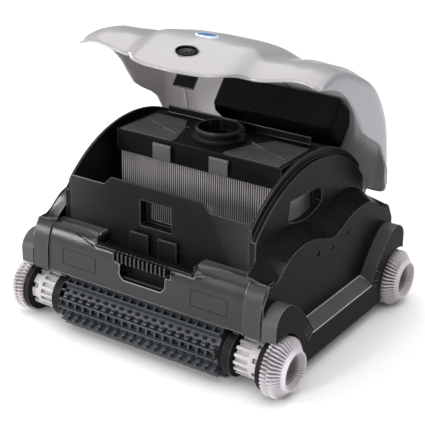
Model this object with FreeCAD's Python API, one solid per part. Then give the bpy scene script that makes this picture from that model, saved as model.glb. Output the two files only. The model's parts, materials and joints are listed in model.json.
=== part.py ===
import FreeCAD, Part
import math
import os

# Robotic pool cleaner with its lid raised, in millimetres.
# Origin on the floor under the middle of the wheelbase. X runs along the axles, -Y is the grip end,
# +Y is the lid hinge end and +Z is up.

os.makedirs("parts", exist_ok=True)

# Driving dimensions
AXLE_Y = 147.5            # each axle's distance from the middle
WHEEL_R = 38.3            # outer radius of the fins, so the wheels touch z = 0
AXLE_Z = WHEEL_R
HUB_X = 215.0             # outer face of the wheel hubs, half the overall width
WELL_R = 43.0             # wheel arch radius
TUB_X = 136.0             # inner face of the arched tub walls
ARCH_X = 146.0            # outer face of the arched tub walls
PANEL_X = 178.0           # outer face of the upper side panels
FENDER_X = 197.0          # outer face of the fenders and sills
TUB_Y = 134.0             # outer face of the upper tub walls
LOWER_Y = 106.0           # outer face of the lower tub walls, clear of the brushes
TUB_LEDGE_Z = 88.0        # where the tub steps in above the brushes
WALL = 3.0                # moulded wall thickness
FLOOR_Z = 20.0            # underside of the base tray
TRAY_THICK = 4.0
SILL_Z = 18.0             # underside of the fender covers
ARCH_R = 187.0            # arched lip radius
ARCH_CZ = 65.0            # height of the arched lip's centre
SHOULDER_DROP = 10.0      # outer shoulder of the arch below its lip
BRUSH_R = 37.8
BRUSH_X = 122.0
CHEEK_X = 139.0           # outer face of the bearing cheek beside the brush
CHEEK_R = 30.0
SHAFT_R = 6.0
RUNNING = 0.05            # radial clearance of a shaft in its bore
HINGE_Y = 143.0
HINGE_Z = 145.0
HINGE_PIN_R = 3.0
LID_OPEN_DEG = 39.0       # how far the lid stands open at rest
LID_X = 180.0
FILTER_X = 126.7
FILTER_Y = 49.0
FILTER_TOP = 243.0
PLEAT_TOP = 214.0
COLLAR_Y = 5.0            # the collar sits a little behind the filter's middle
COLLAR_R = 30.5
COLLAR_TOP = 257.0
MOTOR_R = 30.0
GEAR_TEETH = 16
PINION_TEETH = 8
GEAR_SPACING = 34.5       # between the axle and its drive pinion
PINION_ANGLE = 55.0       # elevation of the pinion seen from its axle, in degrees
BUMPER_TOP = 141.5
BUMPER_X = 150.6          # half-length of the bumpers between the corner covers
CORNER_X = 151.0          # inner end of the corner covers
SCREW_PLACES = [(-38.0, 140.0), (0.0, 134.0), (38.0, 140.0)]
SCREW_HOLE_R = 4.0
SILL_IN_Z = 64.0          # the sill's top edge at the panel
SILL_OUT_Z = 54.0         # and at its outer edge
CARRIER_X = 185.3         # outer face of the plates behind the wheels
BEARING_X = 127.5         # inner face of the bearing boss beside the brush
WEB_X = 131.0             # inner face of the web above it
GEAR_OUT_X = 177.0        # outer end of the gear bushing
PINION_IN_X = 151.5
PINION_OUT_X = 160.5
SLOT_X = 70.0             # half-length of the intake slots
SLOT_IN_Y = 58.0
SLOT_OUT_Y = 82.0
FLAP_Y = 54.0
FLAP_PIN_R = 1.5
FLAP_Z = FLOOR_Z + 7.0
FRONT_TOP = 214.0         # front wall in the middle
FRONT_SHOULDER = 203.0    # and towards its ends
REAR_TOP = 182.0
WINDOW_X = 24.0
WINDOW_Z0 = 161.0
WINDOW_Z1 = 195.0
GRIP_X = 76.0             # half-width of the grip recess
POCKET_X = 35.0           # half-width of the finger pocket below it
COMB_X = 40.2             # half-width of the ribbed part of the grip
COVER_CORNERS = [(122.0, -46.0), (40.0, -46.0), (38.0, -40.0), (52.0, 0.0), (70.0, 30.0), (120.0, 30.0)]
CLIP_PIN_Z = 236.0
LUG_FACES = [(129.5, 133.5), (143.0, 145.8)]
LUG_OUT_X = LUG_FACES[1][1]
ARM_IN_X = 134.2
ARM_OUT_X = 142.3
LID_WALL = 3.0
NOSE_X = 76.0             # half-width of the lid's raised nose
PORT_PLACE = (0.0, -166.0, 189.5)
PORT_TILT = 58.0          # slope of the nose at the port
BADGE_PLACE = (0.0, -138.0, 224.5)
BADGE_TILT = 38.0


def vec(x, y, z):
    return FreeCAD.Vector(x, y, z)


def box(x0, x1, y0, y1, z0, z1):
    return Part.makeBox(x1 - x0, y1 - y0, z1 - z0, vec(x0, y0, z0))


def rod_x(radius, x0, x1, y, z):
    return Part.makeCylinder(radius, x1 - x0, vec(x0, y, z), vec(1, 0, 0))


def rod_y(radius, y0, y1, x, z):
    return Part.makeCylinder(radius, y1 - y0, vec(x, y0, z), vec(0, 1, 0))


def rod_z(radius, z0, z1, x, y):
    return Part.makeCylinder(radius, z1 - z0, vec(x, y, z0), vec(0, 0, 1))


def tube_z(outer, inner, z0, z1, x, y):
    return rod_z(outer, z0, z1, x, y).cut(rod_z(inner, z0 - 1, z1 + 1, x, y))


def tube_x(outer, inner, x0, x1, y, z):
    return rod_x(outer, x0, x1, y, z).cut(rod_x(inner, x0 - 1, x1 + 1, y, z))


def extrude_x(wire, x0, x1):
    face = Part.Face(wire)
    face.translate(vec(x0, 0, 0))
    return face.extrude(vec(x1 - x0, 0, 0))


def prism_x(points, x0, x1):
    """Extrudes a polygon of (y, z) points along X."""
    corners = [vec(0, y, z) for y, z in points]
    return extrude_x(Part.makePolygon(corners + corners[:1]), x0, x1)


def prism_y(points, y0, y1):
    """Extrudes a polygon of (x, z) points along Y."""
    corners = [vec(x, y0, z) for x, z in points]
    return Part.Face(Part.makePolygon(corners + corners[:1])).extrude(vec(0, y1 - y0, 0))


def prism_z(points, z0, z1):
    """Extrudes a polygon of (x, y) points along Z."""
    corners = [vec(x, y, z0) for x, y in points]
    return Part.Face(Part.makePolygon(corners + corners[:1])).extrude(vec(0, 0, z1 - z0))


def curve(points, x=0.0):
    """A smooth edge through (y, z) points at one X."""
    spline = Part.BSplineCurve()
    spline.interpolate([vec(x, y, z) for y, z in points])
    return spline.toShape()


def line(a, b, x=0.0):
    return Part.makeLine(vec(x, a[0], a[1]), vec(x, b[0], b[1]))


def fuse(shapes):
    return shapes[0].multiFuse(shapes[1:]).removeSplitter()


def mirror_x(shape):
    return shape.mirror(vec(0, 0, 0), vec(1, 0, 0))


def mirror_y(shape):
    return shape.mirror(vec(0, 0, 0), vec(0, 1, 0))


def turned(shape, degrees, y, z):
    """Turns a shape about an axis along X through (y, z)."""
    copy = shape.copy()
    copy.rotate(vec(0, y, z), vec(1, 0, 0), degrees)
    return copy


def both_ways(points):
    """Adds the mirror image in y of points that end at y = 0."""
    return points + [(-y, z) for y, z in reversed(points[:-1])]


# Two wheel humps with a dip between them shape the side covers.
EDGE_WAVE = both_ways([(-152, 140), (-133, 141.5), (-112, 156.5), (-77, 165.5), (-38, 160), (0, 148.5)])
DECK_WAVE = both_ways([(-152, 146), (-133, 159), (-112, 171), (-77, 179), (-38, 173.5), (0, 166)])
# Front face of the bumper and corner covers: a flat top from BUMPER_BACK, then down to the brush opening.
BUMPER_BACK = (-137, BUMPER_TOP)
BUMPER_BACKSET = 2.5      # the bumpers stand this far behind the corner covers
BUMPER_CURVE = [(-150, BUMPER_TOP), (-158.5, 134), (-164.5, 120), (-167.5, 99), (-168, 76)]
BUMPER_INNER = [(-149, BUMPER_TOP - WALL), (-156.2, 132), (-161.6, 119), (-164.5, 99), (-165, 76)]


def wave_band(points, x):
    low = [(y, z - WALL) for y, z in points]
    return Part.Wire([
        curve(points, x), line(points[-1], low[-1], x), curve(low[::-1], x), line(low[0], points[0], x)])


def deck():
    """The sloping top between the arched wall and the side panel."""
    bands = [wave_band(DECK_WAVE, ARCH_X), wave_band(EDGE_WAVE, PANEL_X - WALL)]
    return Part.makeLoft(bands, True, True)


def side_panel():
    front = [(-152, 140), (-164.5, 118), (-167, 30)]
    rear = [(-y, z) for y, z in front]
    outline = Part.Wire([
        curve(EDGE_WAVE), line(rear[0], rear[1]), line(rear[1], rear[2]), line(rear[2], front[2]),
        line(front[2], front[1]), line(front[1], front[0])])
    panel = extrude_x(outline, PANEL_X - WALL, PANEL_X)
    for y in (-AXLE_Y, AXLE_Y):
        panel = panel.cut(rod_x(WELL_R, PANEL_X - 5, PANEL_X + 1, y, AXLE_Z))
    for y, z in SCREW_PLACES:
        panel = panel.cut(rod_x(SCREW_HOLE_R, PANEL_X - 5, PANEL_X + 1, y, z))
    return panel


def bumper_band():
    back_low = (BUMPER_BACK[0], BUMPER_TOP - WALL)
    return Part.Wire([
        line(BUMPER_BACK, BUMPER_CURVE[0]), curve(BUMPER_CURVE), line(BUMPER_CURVE[-1], BUMPER_INNER[-1]),
        curve(BUMPER_INNER[::-1]), line(BUMPER_INNER[0], back_low), line(back_low, BUMPER_BACK)])


def side_cover():
    """Upper panel, sloping deck and the two rounded corners, moulded in one piece."""
    corner = extrude_x(bumper_band(), CORNER_X, PANEL_X - WALL)
    return fuse([side_panel(), deck(), corner, mirror_y(corner)])


FENDER_FRONT = [(-166.5, SILL_Z), (-166.5, 98), (-164, 104.5), (-159.5, 110), (-153, 114.5), (-146, 116.8),
                (-138, 116.6), (-130, 114), (-122, 109), (-111, 99.5), (-99, 87), (-88, 74.5), (-74, 54)]
FENDER_INNER = [(-163.5, SILL_Z + WALL), (-163.5, 97.3), (-161.4, 103), (-157.3, 107.8), (-151.6, 111.6),
                (-145.6, 113.7), (-138.6, 113.6), (-131.3, 111.2), (-124, 106.7), (-113.2, 97.2),
                (-101.3, 84.9), (-90.3, 72.8), (-76.5, 51)]


def across(points):
    """Closes an outline with its mirror image in y."""
    return points + [(-y, z) for y, z in reversed(points)]


def fender_cover():
    """Fenders over both wheels, joined by a low sill whose top slopes outwards."""
    shell = prism_x(across(FENDER_FRONT), PANEL_X, FENDER_X)
    ramp = [(PANEL_X, SILL_OUT_Z), (PANEL_X, SILL_IN_Z), (FENDER_X, SILL_OUT_Z)]
    shell = shell.fuse(prism_y(ramp, -78.0, 78.0))
    hollow = prism_x(across(FENDER_INNER), PANEL_X - 1, FENDER_X - WALL)
    for y in (-AXLE_Y, AXLE_Y):
        hollow = hollow.cut(rod_x(WELL_R + WALL, PANEL_X - 2, FENDER_X, y, AXLE_Z))
        shell = shell.cut(rod_x(WELL_R, PANEL_X - 1, FENDER_X + 1, y, AXLE_Z))
    shell = shell.cut(hollow)
    for side in (-1, 1):
        shell = shell.cut(carrier_plate(side))
        for step in range(3):
            shell = shell.cut(vent_slot(side, step))
    return shell.removeSplitter()


def vent_slot(side, step):
    slot = box(FENDER_X - 5, FENDER_X + 1, -8, 8, -1.5, 1.5)
    slot.rotate(vec(0, 0, 0), vec(1, 0, 0), -30 * side)
    slot.translate(vec(0, side * (93 - 5 * step), 66 - 6.5 * step))
    return slot


def carrier_plate(side):
    """Plate behind a wheel that carries its axle, running back into the fender."""
    plate = rod_x(34.0, PANEL_X, CARRIER_X, 0, 0)
    arm = box(PANEL_X, CARRIER_X, -22, 22, 0, 60)
    arm.rotate(vec(0, 0, 0), vec(1, 0, 0), 40 * side)
    plate = plate.fuse(arm).removeSplitter()
    plate.translate(vec(0, side * AXLE_Y, AXLE_Z))
    return plate


def axle_carrier(side):
    """Outer carrier plate and inner bearing cheek of one wheel."""
    y = side * AXLE_Y
    web = [(y - 19, AXLE_Z), (y + 19, AXLE_Z), (y + 13 - 12 * side, TUB_LEDGE_Z),
           (y - 13 - 12 * side, TUB_LEDGE_Z)]
    cheek = prism_x(web, WEB_X, CHEEK_X).fuse(rod_x(CHEEK_R, BEARING_X, CHEEK_X, y, AXLE_Z))
    bore = rod_x(SHAFT_R + RUNNING, BEARING_X - 1, CARRIER_X + 1, y, AXLE_Z)
    return Part.makeCompound([carrier_plate(side).cut(bore), cheek.removeSplitter().cut(bore)])


def base_tray():
    """Bottom plate with two intake slots and hinge ears for their flaps."""
    top = FLOOR_Z + TRAY_THICK
    tray = box(-172, 172, -LOWER_Y + WALL, LOWER_Y - WALL, FLOOR_Z, top)
    for side in (-1, 1):
        y0, y1 = sorted((side * SLOT_IN_Y, side * SLOT_OUT_Y))
        tray = tray.cut(box(-SLOT_X, SLOT_X, y0, y1, FLOOR_Z - 1, FLOOR_Z + 5))
        for x in (-SLOT_X - 9, SLOT_X + 5):
            ear = box(x, x + 4, side * FLAP_Y - 3, side * FLAP_Y + 3, top, FLAP_Z + 3)
            tray = tray.fuse(ear.cut(rod_x(FLAP_PIN_R + RUNNING, x - 1, x + 5, side * FLAP_Y, FLAP_Z)))
    for y in (-30, 0, 30):
        for x in (-132, 45):
            tray = tray.fuse(box(x, x + 87, y - 1.5, y + 1.5, top, top + 8))
    return tray.removeSplitter()


def intake_flap(side):
    """Flap that closes an intake slot from above and lifts as water is drawn in."""
    y0, y1 = sorted((side * FLAP_Y, side * (SLOT_OUT_Y + 3)))
    plate = box(-SLOT_X - 3, SLOT_X + 3, y0, y1, FLOOR_Z + 4.3, FLOOR_Z + 6.3)
    barrel = rod_x(2.6, -SLOT_X - 3, SLOT_X + 3, side * FLAP_Y, FLAP_Z)
    pin = rod_x(FLAP_PIN_R, -SLOT_X - 9, SLOT_X + 9, side * FLAP_Y, FLAP_Z)
    return fuse([plate, barrel, pin])


def tub_wall(side, top):
    """Tub end wall that steps in above the brush, with its outer face at side * TUB_Y."""
    profile = [(TUB_Y, top), (TUB_Y, TUB_LEDGE_Z), (LOWER_Y, TUB_LEDGE_Z), (LOWER_Y, FLOOR_Z),
               (LOWER_Y - WALL, FLOOR_Z), (LOWER_Y - WALL, TUB_LEDGE_Z + WALL),
               (TUB_Y - WALL, TUB_LEDGE_Z + WALL), (TUB_Y - WALL, top)]
    return prism_x([(side * y, z) for y, z in profile], -TUB_X, TUB_X)


def front_wall():
    """Front tub wall, raised in the middle, with a boxed-in window."""
    wall = tub_wall(-1, FRONT_TOP)
    for sign in (-1, 1):
        step = [(70, 230), (70, FRONT_TOP), (80, FRONT_SHOULDER), (140, FRONT_SHOULDER), (140, 230)]
        wall = wall.cut(prism_y([(sign * x, z) for x, z in step], -TUB_Y - 1, -TUB_Y + 5))
    frame = box(-WINDOW_X - 2, WINDOW_X + 2, -TUB_Y + WALL, -TUB_Y + 16, WINDOW_Z0 - 2, WINDOW_Z1 + 2)
    wall = wall.fuse(frame)
    wall = wall.cut(box(-WINDOW_X, WINDOW_X, -TUB_Y - 1, -TUB_Y + 14, WINDOW_Z0, WINDOW_Z1))
    opening = box(-WINDOW_X + 7, WINDOW_X - 3, -TUB_Y + 13, -TUB_Y + 17, WINDOW_Z0 + 5, WINDOW_Z1 - 8)
    return wall.cut(opening).removeSplitter()


def rear_wall():
    return tub_wall(1, REAR_TOP)


def arch_face(radius):
    """Wall outline: an arc over the tub, stepping in above the brushes."""
    end_z = ARCH_CZ + math.sqrt(radius ** 2 - TUB_Y ** 2)
    foot_z = FLOOR_Z + TRAY_THICK
    corners = [(TUB_Y, end_z), (TUB_Y, TUB_LEDGE_Z), (LOWER_Y, TUB_LEDGE_Z), (LOWER_Y, foot_z),
               (-LOWER_Y, foot_z), (-LOWER_Y, TUB_LEDGE_Z), (-TUB_Y, TUB_LEDGE_Z), (-TUB_Y, end_z)]
    edges = [line(a, b) for a, b in zip(corners, corners[1:])]
    top = vec(0, 0, ARCH_CZ + radius)
    edges.append(Part.Arc(vec(0, -TUB_Y, end_z), top, vec(0, TUB_Y, end_z)).toShape())
    return Part.Wire(edges)


def side_window():
    """Side opening of the tub with a curved lower edge."""
    corners = [(22, 182), (20, 198), (12, 205), (-57, 207), (-60, 182)]
    edges = [line(a, b) for a, b in zip(corners, corners[1:])]
    edges.append(Part.Arc(vec(0, -60, 182), vec(0, -19, 172), vec(0, 22, 182)).toShape())
    return extrude_x(Part.Wire(edges), TUB_X - 1, ARCH_X + 1)


def arch_wall():
    lip = extrude_x(arch_face(ARCH_R), TUB_X, TUB_X + 3.5)
    shoulder = extrude_x(arch_face(ARCH_R - SHOULDER_DROP), TUB_X + 3.5, ARCH_X)
    return lip.fuse(shoulder).removeSplitter()


def bumper():
    return extrude_x(bumper_band(), -BUMPER_X, BUMPER_X)


def front_bumper():
    """Front bumper with the grip recess and the finger pocket."""
    shell = bumper()
    shell = shell.cut(box(-GRIP_X, GRIP_X, -175, -TUB_Y, 126, 150))
    shell = shell.cut(box(-COMB_X - 2, COMB_X + 2, -175, -158, 115, 127))
    shell = shell.cut(prism_y(
        [(-POCKET_X, 130), (-POCKET_X, 101), (-POCKET_X + 6, 95), (POCKET_X - 6, 95), (POCKET_X, 101),
         (POCKET_X, 130)], -175, -158))
    shell = shell.removeSplitter()
    shell.translate(vec(0, BUMPER_BACKSET, 0))
    return shell


def rear_bumper():
    """Rear bumper, notched where the lid arms turn."""
    shell = mirror_y(bumper())
    for sign in (-1, 1):
        x0, x1 = sorted((sign * LUG_FACES[0][1], sign * LUG_FACES[1][0]))
        shell = shell.cut(box(x0, x1, 135, 155, 134, 145))
    shell.translate(vec(0, -BUMPER_BACKSET, 0))
    return shell


def grip_tray():
    """Tray behind the grip and the pocket's back wall."""
    tray = box(-GRIP_X, GRIP_X, -155.5, -TUB_Y, 124, 126)
    ends = [box(x, x + 2, -158, -TUB_Y, 126, 140) for x in (-GRIP_X, GRIP_X - 2)]
    back = box(-POCKET_X, POCKET_X, -150, -148, 97, 124)
    sill = box(-POCKET_X, POCKET_X, -160, -148, 95, 97)
    return fuse([tray, back, sill] + ends)


def grip_comb():
    """Ribbed bar that the fingers hold."""
    bar = box(-GRIP_X + 2, GRIP_X - 2, -164, -154, 129.5, 132.5)
    pieces = [bar]
    rib_count = 13
    for i in range(rib_count):
        x = (COMB_X - 1.2) * (2.0 * i / (rib_count - 1) - 1)
        pieces.append(box(x - 1.2, x + 1.2, -170.5, -159.5, 120.5, 132.5))
    return fuse(pieces)


def latch_tabs():
    """Two upright tabs that the lid's catch drops in front of."""
    tabs = []
    for x in (-22.0, 22.0):
        blade = box(x - 14, x + 14, -TUB_Y - 7, -TUB_Y - 4, 126, 152)
        foot = box(x - 14, x + 14, -TUB_Y - 4, -TUB_Y, 138, 141)
        tabs.append(blade.fuse(foot))
    return Part.makeCompound([tab.removeSplitter() for tab in tabs])


def pump_motor():
    """Sealed pump motor standing in the middle of the filter."""
    body = rod_z(MOTOR_R, FLOOR_Z + TRAY_THICK, 176.0, 0, COLLAR_Y)
    neck = rod_z(20.0, 176.0, 190.0, 0, COLLAR_Y)
    shaft_hole = rod_z(3.0 + RUNNING, 170.0, 191.0, 0, COLLAR_Y)
    return body.fuse(neck).cut(shaft_hole).removeSplitter()


def impeller():
    hub = rod_z(9.0, 196.0, 214.0, 0, COLLAR_Y)
    pieces = [hub, rod_z(3.0, 171.0, 197.0, 0, COLLAR_Y)]
    for i in range(3):
        blade = box(7.0, 26.0, -1.5, 1.5, -7.0, 7.0)
        blade.rotate(vec(0, 0, 0), vec(1, 0, 0), 35)
        blade.translate(vec(0, COLLAR_Y, 205.0))
        blade.rotate(vec(0, COLLAR_Y, 0), vec(0, 0, 1), 120 * i)
        pieces.append(blade)
    return fuse(pieces)


def pinion_place(side):
    angle = math.radians(PINION_ANGLE)
    return (side * (AXLE_Y - GEAR_SPACING * math.cos(angle)), AXLE_Z + GEAR_SPACING * math.sin(angle))


def gearbox(side):
    """Drive motor and gearbox in a side chamber, on the +X side with its pinion at side * y."""
    y, z = pinion_place(side)
    y0, y1 = sorted((side * 134.0, side * 52.0))
    case = box(162.5, 174.5, y0, y1, z - 4, z + 38)
    motor = rod_y(12.0, min(0, side * 52.0), max(0, side * 52.0), 161.0, z + 17)
    case = case.fuse(motor).removeSplitter()
    return case.cut(rod_x(3.0 + RUNNING, 160.0, 171.0, y, z))


def pinion(side):
    y, z = pinion_place(side)
    wheel = fuse([rod_x(9.2, PINION_IN_X, PINION_OUT_X, 0, 0), rod_x(3.0, PINION_IN_X, 170.5, 0, 0)] + [
        turned(box(PINION_IN_X, PINION_OUT_X, -1.6, 1.6, 8.0, 13.5), 360.0 * i / PINION_TEETH, 0, 0)
        for i in range(PINION_TEETH)])
    # A tooth points straight at the axle, into one of its gear's gaps.
    wheel = turned(wheel, side * (90.0 - PINION_ANGLE) + 180.0, 0, 0)
    wheel.translate(vec(0, y, z))
    return wheel


def gear_bushing(side):
    """Castellated drive ring between a wheel and the brush."""
    start = CHEEK_X + 3
    ring = tube_x(24.0, SHAFT_R, start, GEAR_OUT_X, 0, 0)
    gap_half = 180.0 / GEAR_TEETH
    rim = tube_x(25.0, 23.0, start, GEAR_OUT_X, 0, 0)
    ring = ring.fuse(rim)
    for i in range(GEAR_TEETH):
        gap = turned(box(start - 1, 162.0, -2.8, 2.8, 20.4, 26.0), 2 * gap_half * i, 0, 0)
        ring = ring.cut(gap)
    for i in range(GEAR_TEETH // 2):
        notch = turned(box(168.0, 178.0, -3.2, 3.2, 20.4, 26.0), 4 * gap_half * i + gap_half, 0, 0)
        ring = ring.cut(notch)
    # A gap faces the drive pinion.
    ring = turned(ring.removeSplitter(), side * (90.0 - PINION_ANGLE), 0, 0)
    ring.translate(vec(0, side * AXLE_Y, AXLE_Z))
    return ring


def wheel(side):
    """Climbing wheel: a bell-shaped hub with radial fins all round."""
    profile = [(186.0, SHAFT_R), (186.0, 33.0), (200.7, 33.0), (211.0, 25.5), (HUB_X, 23.5), (HUB_X, 20.5),
               (206.0, 20.5), (206.0, 17.0), (200.0, 17.0), (200.0, SHAFT_R)]
    corners = [vec(x, 0, r) for x, r in profile]
    face = Part.Face(Part.makePolygon(corners + corners[:1]))
    solid = face.revolve(vec(0, 0, 0), vec(1, 0, 0), 360)
    fin_shape = [(186.0, 31.0), (186.0, WHEEL_R), (200.7, WHEEL_R), (213.0, 24.3), (203.0, 29.0), (200.0, 31.0)]
    fin = prism_y(fin_shape, -1.0, 1.0)
    fin_count = 40
    solid = solid.multiFuse([turned(fin, 360.0 * i / fin_count, 0, 0) for i in range(fin_count)])
    solid.translate(vec(0, side * AXLE_Y, AXLE_Z))
    return solid.removeSplitter()


def axle_shaft(side):
    return rod_x(SHAFT_R, -200.0, 200.0, side * AXLE_Y, AXLE_Z)


def brush(side):
    """Brush sleeve with rows of ribs along it, on the axle shaft."""
    core = tube_x(28.0, SHAFT_R, -BRUSH_X, BRUSH_X, 0, 0)
    row_count = 12
    rows = []
    for i in range(row_count):
        rib = box(-BRUSH_X, BRUSH_X, -1.5, 1.5, 26.0, BRUSH_R)
        rows.append(turned(rib, 360.0 * (i + 0.5) / row_count, 0, 0))
    flanges = [tube_x(33.0, SHAFT_R, x, x + 4.0, 0, 0) for x in (-BRUSH_X - 4.0, BRUSH_X)]
    solid = core.multiFuse(rows + flanges)
    solid.translate(vec(0, side * AXLE_Y, AXLE_Z))
    return solid.removeSplitter()


def filter_frame():
    """Top frame of the cartridge with a raised rear plate."""
    frame = box(-FILTER_X, FILTER_X, -FILTER_Y, FILTER_Y, PLEAT_TOP, FILTER_TOP)
    frame = frame.cut(box(-122, 122, -45, 45, PLEAT_TOP - 1, FILTER_TOP - WALL))
    frame = frame.cut(rod_z(COLLAR_R - 3, PLEAT_TOP, FILTER_TOP + 1, 0, COLLAR_Y))
    for sign in (-1, 1):
        recess = prism_z([(sign * x, y) for x, y in COVER_CORNERS], FILTER_TOP - 1.5, FILTER_TOP + 1)
        frame = frame.cut(recess)
    rear_plate = box(-112, 112, FILTER_Y - WALL, FILTER_Y, FILTER_TOP, FILTER_TOP + 10)
    return frame.fuse(rear_plate).removeSplitter()


def filter_cover(sign):
    """Cover plate with crossed ribs and a screw boss."""
    plate = prism_z([(sign * x, y) for x, y in COVER_CORNERS], FILTER_TOP - 1.5, FILTER_TOP + 1.0)
    pieces = [plate, rod_z(4.0, FILTER_TOP + 1.0, FILTER_TOP + 2.6, sign * 82.0, -8.0)]
    for turn in (25, -25):
        rib = box(-36, 36, -0.8, 0.8, FILTER_TOP + 0.5, FILTER_TOP + 2.0)
        rib.rotate(vec(0, 0, 0), vec(0, 0, 1), turn)
        rib.translate(vec(sign * 82.0, -8.0, 0))
        pieces.append(rib)
    return fuse(pieces)


def collar():
    """Outlet ring on top of the filter."""
    ring = rod_z(COLLAR_R, FILTER_TOP, COLLAR_TOP, 0, COLLAR_Y)
    bead = rod_z(COLLAR_R + 1.5, COLLAR_TOP - 4, COLLAR_TOP - 1.5, 0, COLLAR_Y)
    flange = rod_z(COLLAR_R + 4, FILTER_TOP, FILTER_TOP + 3, 0, COLLAR_Y)
    clip = box(COLLAR_R - 2, COLLAR_R + 8, COLLAR_Y - 4, COLLAR_Y + 4, FILTER_TOP + 1, FILTER_TOP + 11)
    bore = rod_z(COLLAR_R - 3, FILTER_TOP - 1, COLLAR_TOP + 1, 0, COLLAR_Y)
    return fuse([ring, bead, flange, clip]).cut(bore)


def filter_base():
    base = box(-124, 124, -46, 46, 56, 62)
    return base.cut(rod_z(MOTOR_R + 1, 50, 70, 0, COLLAR_Y))


def pleats_long(side):
    """Pleated panel along the front or the rear of the cartridge."""
    y0, y1 = sorted((side * 46.0, side * 36.0))
    return box(-122, 122, y0, y1, 62, PLEAT_TOP)


def pleats_end():
    return box(112, 122, -35.7, 35.7, 62, PLEAT_TOP)


def filter_clip():
    """Square tab that clips the pleated panel to the frame, about a pin at its top."""
    tab = box(-14, 14, -FILTER_Y - 5.5, -FILTER_Y - 3.5, 217, CLIP_PIN_Z)
    barrel = rod_x(2.2, -14, 14, -FILTER_Y - 3.3, CLIP_PIN_Z)
    hook = box(-5, 5, -FILTER_Y - 3.5, -FILTER_Y - 0.5, 217, 219)
    return fuse([tab, barrel, hook])


def hinge_brackets():
    """Lugs on the rear bumper that hold the lid's hinge pins."""
    lugs = []
    for sign in (-1, 1):
        for x_in, x_out in LUG_FACES:
            x0, x1 = sorted((sign * x_in, sign * x_out))
            foot = prism_x([(137, BUMPER_TOP), (137, HINGE_Z), (149, HINGE_Z), (149, BUMPER_TOP)], x0, x1)
            lug = foot.fuse(rod_x(6.0, x0, x1, HINGE_Y, HINGE_Z))
            lug = lug.cut(box(x0 - 1, x1 + 1, 130, 160, 130, BUMPER_TOP))
            lugs.append(lug.removeSplitter().cut(rod_x(HINGE_PIN_R, x0 - 1, x1 + 1, HINGE_Y, HINGE_Z)))
    return Part.makeCompound(lugs)


def hinge_pins():
    return Part.makeCompound([
        rod_x(HINGE_PIN_R, 128.5, LUG_OUT_X, HINGE_Y, HINGE_Z),
        rod_x(HINGE_PIN_R, -LUG_OUT_X, -128.5, HINGE_Y, HINGE_Z)])


def cord_gland():
    """Gland nut and sleeve where the floating cable leaves the housing."""
    nut = tube_z(7.5, 3.5, BUMPER_TOP, BUMPER_TOP + 6, 119, 144)
    sleeve = tube_z(5.5, 3.5, BUMPER_TOP + 6, 157, 119, 144)
    return nut.fuse(sleeve).removeSplitter()


def panel_screws():
    heads = []
    for sign in (-1, 1):
        for y, z in SCREW_PLACES:
            x0, x1 = sorted((sign * (PANEL_X - 5), sign * (PANEL_X - 2)))
            heads.append(rod_x(SCREW_HOLE_R - 0.5, x0, x1, y, z))
    return Part.makeCompound(heads)


# Lid sections across X, drawn closed: (y, z) points from the front edge over the crown to the rear edge.
LID_SECTIONS = [
    (0.0, [(-152, 181), (-137, 211), (-107, 235), (-40, 266), (30, 278), (97, 259), (133, 214), (152, 160)]),
    (76.0, [(-152, 181), (-138, 208), (-107, 230), (-41, 258), (20, 272), (93, 256), (132, 211), (152, 160)]),
    (120.0, [(-152, 182), (-140, 206), (-108, 226), (-51, 251), (15, 267), (90, 249), (135, 209), (152, 160)]),
    (148.0, [(-151, 182), (-139, 205), (-110, 225), (-51, 249), (8, 262), (83, 241), (133, 204), (152, 160)]),
    (165.0, [(-148, 182), (-136, 202), (-111, 221), (-52, 244), (4, 253), (72, 234), (124, 194), (148, 160)]),
    (174.0, [(-146, 182), (-134, 199), (-112, 217), (-54, 239), (1, 246), (61, 228), (110, 190), (136, 160)]),
    (LID_X, [(-143, 182), (-132, 195), (-114, 210), (-56, 229), (0, 234), (53, 217), (90, 193), (118, 160)]),
]
LID_EDGE = [(-153, 177), (-143, 182.5), (-117, 196), (-94, 202.5), (-71, 203.5), (-48, 201), (-25, 193.5),
            (-3, 188), (18, 190), (43, 195.5), (60, 196), (90, 185), (127, 173), (153, 163.5)]
NOSE_SECTIONS = [
    (0.0, [(-185, 154), (-169, 184), (-144, 220), (-111, 240), (-75, 257), (-40, 270)]),
    (40.0, [(-181, 157), (-165, 187), (-142, 218), (-109, 238), (-74, 255), (-40, 268)]),
    (66.0, [(-177, 163), (-163, 188), (-142, 219), (-108, 237), (-73, 253), (-40, 265)]),
    (NOSE_X, [(-170, 168), (-158, 190), (-140, 217), (-107, 234), (-72, 249), (-40, 260)]),
]


def offset_inwards(points, distance):
    """Moves the points of an outline into the shape that it arches over."""
    moved = []
    for i, (y, z) in enumerate(points):
        before = points[max(i - 1, 0)]
        after = points[min(i + 1, len(points) - 1)]
        run = math.hypot(after[0] - before[0], after[1] - before[1])
        moved.append((y + distance * (after[1] - before[1]) / run, z - distance * (after[0] - before[0]) / run))
    return moved


def loft_sections(sections, base):
    """Solid through (x, points) sections, each closed by the base points."""
    wires = []
    for x, points in [(-x, p) for x, p in reversed(sections[1:])] + sections:
        edges = [curve(points, x)]
        loop = [points[-1]] + base(points) + [points[0]]
        edges += [line(a, b, x) for a, b in zip(loop, loop[1:])]
        wires.append(Part.Wire(edges))
    return Part.makeLoft(wires, True, True)


def lid_space_below():
    """Everything under the lid's wavy lower edge."""
    edges = [curve(LID_EDGE)]
    loop = [LID_EDGE[-1], (190, 163.5), (190, 100), (-200, 100), (-200, 177), LID_EDGE[0]]
    edges += [line(a, b) for a, b in zip(loop, loop[1:])]
    return extrude_x(Part.Wire(edges), -LID_X - 5, LID_X + 5)


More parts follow.
